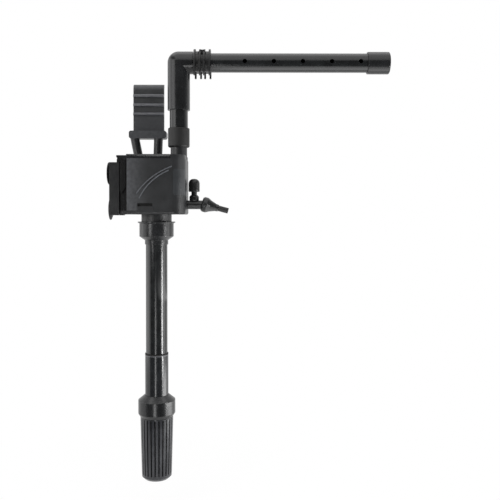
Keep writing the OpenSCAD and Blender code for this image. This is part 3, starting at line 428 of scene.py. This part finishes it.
def extruded_plastic(name, dark, light, gloss, along, pitch_mm=0.7):
    """Extruded tube plastic: fine draw lines along the given axis, and faint cloudy patches of gloss."""
    material, shader, place = new_material(name, ior=1.52)
    stretch = [1000 / pitch_mm] * 3
    stretch["xyz".index(along)] = 25
    lines = add_node(material, "ShaderNodeMapping", {}, {"Scale": stretch}, {"Vector": place})
    draw = add_node(
        material, "ShaderNodeTexNoise", {}, {"Scale": 1, "Detail": 2, "Roughness": 0.5},
        {"Vector": lines.outputs["Vector"]},
    )
    cloud = add_node(
        material, "ShaderNodeTexNoise", {}, {"Scale": 110, "Detail": 5, "Roughness": 0.6}, {"Vector": place},
    )
    tint = two_tones(material, cloud.outputs["Fac"], (0.35, 0.7), (dark, light))
    sheen = uneven_gloss(material, cloud.outputs["Fac"], gloss - 0.03, gloss + 0.04)
    bump = add_node(
        material, "ShaderNodeBump", {}, {"Strength": 0.12, "Distance": 0.00008},
        {"Height": draw.outputs["Fac"]},
    )
    return dress_shader(material, shader, tint, sheen, bump.outputs["Normal"])


pump = Vector((0.011, -0.033, 0))
riser = pump + Vector((0.0223, 0, 0))
up, right = (0, 0, 1), (1, 0, 0)
drawn_upright = extruded_plastic("drawn_black_tube_upright", "#0f1011", "#17191a", 0.21, "z")
# Soft PVC: matter and blacker than the tube it holds.
sleeve_pvc = moulded_plastic("soft_black_pvc", "#050505", "#0a0a0a", 0.55, 0.5, 0.2)

turned(
    "riser_collar_sleeve",
    [(8.25, 0, 0), (10.7, 0, 1.5), (10.7, 19.2, 1.0), (9.1, 19.2, 0), (9.1, 10.4, 0), (6.2, 10.4, 0),
     (6.2, 9.6, 0), (8.25, 9.6, 0)],
    riser + Vector((0, 0, -0.0643)), up, sleeve_pvc, "root", ["riser_collar"],
)
turned(
    "riser_pipe", [(7.55, 0, 0), (9.05, 0, 0), (9.05, 61.2, 0), (7.55, 61.2, 0)],
    riser + Vector((0, 0, -0.0538)), up, drawn_upright, "root", ["riser_tube"],
)
keep_solid("mitred_elbow", "elbow", gloss_abs, "elbow", 0.0003)


# ---------- spray bar ----------
# An extruded tube with five drilled holes on its front, a moulded push-on cap,
# and a clip-on holder of four open fingers, all black ABS.

bar_axis = pump + Vector((0, 0, 0.0198))
drawn_level = extruded_plastic("drawn_black_tube_level", "#0f1011", "#17191a", 0.21, "x")
bar_mesh = turned(
    "spray_pipe", [(7.9, 0, 0), (9.4, 0, 0), (9.4, 201.4, 0), (7.9, 201.4, 0)],
    bar_axis + Vector((0.027, 0, 0)), right,
)


def cut_away(mesh, tool_bm):
    """Takes a closed tool's shape out of a closed mesh."""
    tool_mesh = bpy.data.meshes.new("tool")
    tool_bm.to_mesh(tool_mesh)
    tool_bm.free()
    tool, blank = bpy.data.objects.new("tool", tool_mesh), bpy.data.objects.new("blank", mesh)
    for item in (tool, blank):
        bpy.context.scene.collection.objects.link(item)
    cut = blank.modifiers.new("cut", "BOOLEAN")
    cut.operation = "DIFFERENCE"
    cut.solver = "EXACT"
    cut.object = tool
    result = bpy.data.meshes.new_from_object(blank.evaluated_get(bpy.context.evaluated_depsgraph_get()))
    for item in (tool, blank):
        bpy.data.objects.remove(item)
    return result


hole_count, last_hole, hole_pitch, hole_radius = 5, 0.2024, 0.0286, 0.00215
drill_bm = bmesh.new()
for i in range(hole_count):
    at = bar_axis + Vector((last_hole - hole_pitch * i, -0.008, 0))
    bmesh.ops.create_cone(
        drill_bm, cap_ends=True, segments=32, radius1=hole_radius, radius2=hole_radius, depth=0.008,
        matrix=Matrix.Translation(at) @ Matrix.Rotation(math.pi / 2, 4, "X"),
    )
drilled = cut_away(bar_mesh, drill_bm)
place_piece("spray_pipe", drilled, drawn_level, "bar", ["spray_bar"], 30)
turned(
    "bar_end_cap", [(0, 18.9, 0), (9.45, 18.9, 0), (9.45, 0, 0), (10.95, 0, 0.5), (10.95, 22, 1.2), (0, 22, 0)],
    bar_axis + Vector((0.2098, 0, 0)), right, gloss_abs, "cap", ["end_cap"], ring=False,
)
clip_nylon = moulded_plastic("matt_black_nylon", "#0b0b0c", "#121213", 0.45, 0.5, 0.3, 7)
keep_solid("finger_clip", "bar_clip", clip_nylon, "clip", 0.0003)


# ---------- intake ----------
# The reducer sits on the base's spigot; the upper tube is a drawn pipe and the
# lower one slides over it, so it shows a step, with a painted shadow line at its lip and a painted highlight band
# of duller gloss under it.

turned(
    "intake_step",
    [(15.05, 0, 0), (18.6, 0, 0.3), (18.6, -1, 0.3), (17, -1.8, 0), (17, -14.7, 0.8), (11.55, -18.5, 0.5),
     (11.55, -22.7, 0.3), (10.75, -22.7, 0), (10.75, -11, 0), (15.05, -11, 0)],
    pump + Vector((0, 0, -0.1381)), up, gloss_abs, "base", ["intake_reducer"],
)
turned(
    "intake_pipe", [(9.2, 0, 0), (10.7, 0, 0), (10.7, -155.8, 0), (9.2, -155.8, 0)],
    pump + Vector((0, 0, -0.1493)), up, drawn_upright, "base", ["intake_tube"],
)

# The sliding tube's lip gets a painted shadow line, and the band under it a painted highlight.
slid_upright = extruded_plastic("slid_black_tube", "#131416", "#1c1e20", 0.19, "z")
paint_light_and_gloss(slid_upright, "#4c4d50", 0.3, [("Z", -272, -271.2)], 0.8)
paint_light_and_gloss(slid_upright, "#010101", 0.8, [("Z", -270.8, -270.4)], 1)
turned(
    "sliding_pipe", [(10.75, 0, 0), (11.55, 0, 0), (11.55, -52.4, 0), (10.75, -52.4, 0)],
    pump + Vector((0, 0, -0.2691)), up, slid_upright, "lower_intake", ["lower_tube"],
)


# ---------- strainer ----------
# A moulded head that takes the sliding tube, and a slotted cage that pushes
# into it. The cage is one moulding of tapering ribs joined at both ends.

turned(
    "strainer_collar",
    [(11.6, 0, 0), (12.15, 0, 0.3), (18.4, -5, 0.8), (18.4, -18, 0.5), (16.3, -21.5, 0.3), (15.4, -21.5, 0),
     (15.4, -12.3, 0), (11, -12.3, 0), (11, -10.9, 0), (11.6, -10.9, 0)],
    pump + Vector((0, 0, -0.3107)), up, gloss_abs, "lower_intake", ["strainer_head"],
)

# The slots and the inside of the cage get painted black shade, so the ribs' outer faces stand out lighter.
cage_abs = moulded_plastic("black_abs_painted_slot_shade", "#222326", "#36373a", 0.22, 0.6, 0.2)
cage_foot_z, cage_top_z, cage_foot_radius, cage_top_radius = -0.391, -0.3325, 0.01475, 0.01625
cage_place = found(cage_abs, "ShaderNodeTexCoord").outputs["Object"]
off_axis = add_node(
    cage_abs, "ShaderNodeVectorMath", {"operation": "SUBTRACT"}, {1: (pump.x, pump.y, 0)}, {0: cage_place},
)
level = add_node(
    cage_abs, "ShaderNodeVectorMath", {"operation": "MULTIPLY"}, {1: (1, 1, 0)}, {0: off_axis.outputs["Vector"]},
)
reach_out = add_node(cage_abs, "ShaderNodeVectorMath", {"operation": "LENGTH"}, links={0: level.outputs["Vector"]})
height = add_node(cage_abs, "ShaderNodeSeparateXYZ", links={"Vector": cage_place}).outputs["Z"]
skin = add_node(
    cage_abs, "ShaderNodeMapRange", {},
    {"From Min": cage_foot_z, "From Max": cage_top_z, "To Min": cage_foot_radius, "To Max": cage_top_radius},
    {"Value": height},
)
depth = add_node(
    cage_abs, "ShaderNodeMath", {"operation": "SUBTRACT"},
    links={0: skin.outputs["Result"], 1: reach_out.outputs["Value"]},
)
# Painted shade: black deeper than the ribs' outer skin, above the foot.
paint_light_and_gloss(cage_abs, "#010101", 0.9, [(depth.outputs["Value"], 0.15, 0.5), ("Z", -392, -390.5)], 1)
keep_solid("strainer_basket", "strainer_cage", cage_abs, "strainer", 0.00015)


# ---------- side outlet ----------
# A small black nylon branch with a turning plug valve, a round knob, a nozzle
# that tilts on its end and a soft rubber hose tip.

branch_nylon = moulded_plastic("black_nylon", "#0e0f0f", "#151617", 0.34, 0.5, 0.25, 7)
outlet = pump + Vector((0, 0, -0.1214))
turned(
    "branch_pipe", [(2.2, 26.8, 0), (4.4, 26.8, 0), (4.4, 49.8, 0), (2.2, 49.8, 0)],
    outlet, right, branch_nylon, "root", ["side_tube"],
)
turned(
    "valve_bell",
    [(2.85, 3.4, 0), (3.6, 3.4, 0.4), (4.75, 4.6, 1.2), (4.75, 8.2, 1.6), (3.3, 9.7, 0.5), (2.85, 9.7, 0)],
    outlet + Vector((0.0375, 0, 0)), up, branch_nylon, "root", ["side_tube"],
)
keep_solid("valve_stem", "valve_plug", branch_nylon, "valve", 0.00015)
turned(
    "valve_cap", [(0, 6.05, 0), (2.85, 6.05, 0), (2.85, 0, 0), (5.5, 0, 0.9), (5.5, 13, 4.6), (0, 13, 0)],
    pump + Vector((0.0375, 0, -0.1085)), up, branch_nylon, "valve", ["valve_knob"], ring=False,
)
tilt = math.radians(15)
down_right = Vector((math.cos(tilt), 0, -math.sin(tilt)))
mouth = outlet + Vector((0.0489, 0, 0)) - 0.0037 * down_right
nozzle_mesh = turned(
    "swivel_nozzle",
    [(1.5, 0, 0), (6.4, 0, 0.5), (7.5, 1.6, 0.8), (7.5, 5, 1.6), (5.6, 8.6, 3), (3.7, 14, 2), (3.3, 17, 0.2),
     (1.5, 17, 0)],
    mouth, down_right,
)
socket_bm = bmesh.new()
bmesh.ops.create_cone(
    socket_bm, cap_ends=True, segments=64, radius1=0.00445, radius2=0.00445, depth=0.0087,
    matrix=Matrix.Translation(outlet + Vector((0.04556, 0, 0))) @ Matrix.Rotation(math.pi / 2, 4, "Y"),
)
place_piece(
    "swivel_nozzle", cut_away(nozzle_mesh, socket_bm), branch_nylon, "nozzle", ["side_nozzle"], 30,
)
turned(
    "hose_tip",
    [(1.4, 13.4, 0), (2.2, 13.4, 0), (2.2, 17.2, 0), (2.8, 17.2, 0.2), (2.8, 27, 0.3), (1.4, 27, 0)],
    mouth, down_right, soft_rubber, "nozzle", ["nozzle_tip"],
)


# ---------- rim hook ----------
# One thick ABS moulding that hooks over the tank's rim. Round grip ribs cross
# its front plate, and two legs plug into the lid.

# Painted highlights on the ribs and the crossbar, greyer than the plate between them.
grip_abs = moulded_plastic("matt_black_abs", "#1d1e20", "#28292b", 0.46, 0.6, 0.4)
paint_light_and_gloss(grip_abs, "#55565a", 0.36, [("Y", -10.4, -11.2), ("Z", -53.6, -53.2)])
# Painted highlight on the top of the bend.
paint_light_and_gloss(grip_abs, "#4a4b4e", 0.36, [("Z", -3, 2)])
# Painted light: the plate below the ribs is lighter than the shaded grooves between them.
paint_light_and_gloss(grip_abs, "#303134", 0.42, [("Z", -27, -31), ("Z", -54, -53)])
# Painted shade on the legs under the crossbar.
paint_light_and_gloss(grip_abs, "#08080a", 0.4, [("Z", -54, -56)], 0.7)

# The front of the bend falls away to twice its depth, which is a longer rounding.
bend_top_z, bend_y = 0.0032, -0.0069
hook_bm = merged_copy("rim_hook")
for v in hook_bm.verts:
    if v.co.y < bend_y and v.co.z > 0.0001:
        v.co.z = bend_top_z - 2 * (bend_top_z - v.co.z)
keep_solid("hanger", "rim_hook", grip_abs, "root", 0.0005, hook_bm)


# ---------- suction bracket ----------
# An ABS channel that slides down the housing's grooves, with two black rubber
# suction cups whose buttons hold in its plate.

track_abs = moulded_plastic("smooth_black_abs", "#0e0f10", "#151617", 0.3, 0.6, 0.15)
keep_solid("cup_channel", "suction_bracket", track_abs, "bracket", 0.0004)
for name, node in (("upper_sucker", "upper_cup"), ("lower_sucker", "lower_cup")):
    keep_solid(name, node, soft_rubber, "bracket", 0.0002)


# ---------- floor, world and lamps ----------
# A white sheet below the hanging pump and white paper behind it. The room in
# front is dim, so dark plastic shows the soft boxes as clean bands.

floor_bm = bmesh.new()
bmesh.ops.create_grid(floor_bm, x_segments=1, y_segments=1, size=2, matrix=Matrix.Translation((0, 1.8, -0.425)))
floor_mesh = bpy.data.meshes.new("floor")
floor_bm.to_mesh(floor_mesh)
floor_bm.free()
paper, paper_shader, paper_place = new_material("white_paper", roughness=0.9)
paper_shader.inputs["Base Color"].default_value = colour("#f2f2f2")
glow = add_node(paper, "ShaderNodeEmission")
path = add_node(paper, "ShaderNodeLightPath").outputs
seen = path["Is Camera Ray"]
for other in ("Is Glossy Ray", "Is Transmission Ray"):
    seen = add_node(
        paper, "ShaderNodeMath", {"operation": "MAXIMUM"}, links={0: seen, 1: path[other]},
    ).outputs["Value"]
reach = add_node(paper, "ShaderNodeVectorMath", {"operation": "LENGTH"}, links={0: paper_place})
fade = add_node(
    paper, "ShaderNodeMapRange", {"interpolation_type": "SMOOTHSTEP"},
    {"From Min": 0.2, "From Max": 0.5, "To Min": 0.5, "To Max": 1.0}, {"Value": reach.outputs["Value"]},
)
share = add_node(paper, "ShaderNodeMath", {"operation": "MULTIPLY"}, links={0: fade.outputs["Result"], 1: seen})
mix = add_node(
    paper, "ShaderNodeMixShader",
    links={0: share.outputs["Value"], 1: paper_shader.outputs["BSDF"], 2: glow.outputs["Emission"]},
)
sheet = found(paper, "ShaderNodeOutputMaterial")
paper.node_tree.links.new(mix.outputs["Shader"], sheet.inputs["Surface"])
floor_mesh.materials.append(paper)
floor = bpy.data.objects.new("floor", floor_mesh)
bpy.context.scene.collection.objects.link(floor)


def soft_box(name, at, aim, size, power, spread=180):
    """A rectangular lamp at a place, facing a point; a louvre narrows its spread, in degrees."""
    lamp = bpy.data.lights.new(name, "AREA")
    lamp.shape = "RECTANGLE"
    lamp.size, lamp.size_y = size
    lamp.energy = power
    lamp.spread = math.radians(spread)
    box = bpy.data.objects.new(name, lamp)
    box.location = at
    box.rotation_euler = (Vector(aim) - Vector(at)).to_track_quat("-Z", "Y").to_euler()
    box.visible_camera = False
    bpy.context.scene.collection.objects.link(box)


soft_box("top_box", (0.1, -0.24, 0.75), (0.1, -0.24, -0.1), (1.3, 1.1), 6.2)
soft_box("top_front_box", (0.1, -0.86, 0.56), (0.1, -0.03, 0.0), (1.3, 0.4), 2.0)
soft_box("under_panel", (0.215, -0.10, -0.22), (0.215, -0.10, 0.5), (0.33, 0.24), 0.4)
soft_box("right_box", (0.75, -0.06, -0.26), (0.0, -0.03, -0.26), (0.36, 0.32), 0.8)
soft_box("right_strip", (0.572, -0.268, -0.31), (0.0, -0.03, -0.24), (0.08, 0.22), 2.0)
soft_box("low_right_panel", (0.30, -0.03, -0.385), (0.0, -0.03, -0.34), (0.30, 0.07), 0.07, 70)
soft_box("left_box", (-0.74, -0.06, -0.05), (0.0, -0.03, -0.05), (0.7, 1.0), 2.8)
soft_box("upper_left_box", (-0.511, -0.474, 0.15), (0.0, -0.03, 0.0), (0.375, 0.4), 1.0)
soft_box("near_strip", (-0.20, -0.33, -0.10), (0.0, -0.05, -0.10), (0.1, 0.14), 0.26)
soft_box("front_strip", (-0.025, -0.50, -0.43), (0.01, -0.03, -0.28), (0.07, 0.34), 0.46)

world = bpy.data.worlds.new("studio")
bpy.context.scene.world = world
world.use_nodes = True
background = world.node_tree.nodes["Background"]
background.inputs["Color"].default_value = (1, 1, 1, 1)
ray = add_node(world, "ShaderNodeLightPath")
toward = add_node(
    world, "ShaderNodeSeparateXYZ", links={0: add_node(world, "ShaderNodeTexCoord").outputs["Generated"]},
)
room = add_node(
    world, "ShaderNodeMapRange", {"interpolation_type": "SMOOTHSTEP"},
    {"From Min": -0.4, "From Max": 0.6, "To Min": 0.1, "To Max": 1.0}, {"Value": toward.outputs["Y"]},
)
mirrored = add_node(
    world, "ShaderNodeMath", {"operation": "MAXIMUM"},
    links={0: ray.outputs["Is Glossy Ray"], 1: ray.outputs["Is Transmission Ray"]},
)
soft = add_node(
    world, "ShaderNodeMix", {"data_type": "FLOAT"}, {2: 0.45},
    {0: mirrored.outputs["Value"], 3: room.outputs["Result"]},
)
strength = add_node(
    world, "ShaderNodeMix", {"data_type": "FLOAT"}, {3: 1.0},
    {0: ray.outputs["Is Camera Ray"], 2: soft.outputs["Result"]},
)
world.node_tree.links.new(strength.outputs["Result"], background.inputs["Strength"])

bpy.context.scene.view_settings.view_transform = "Standard"
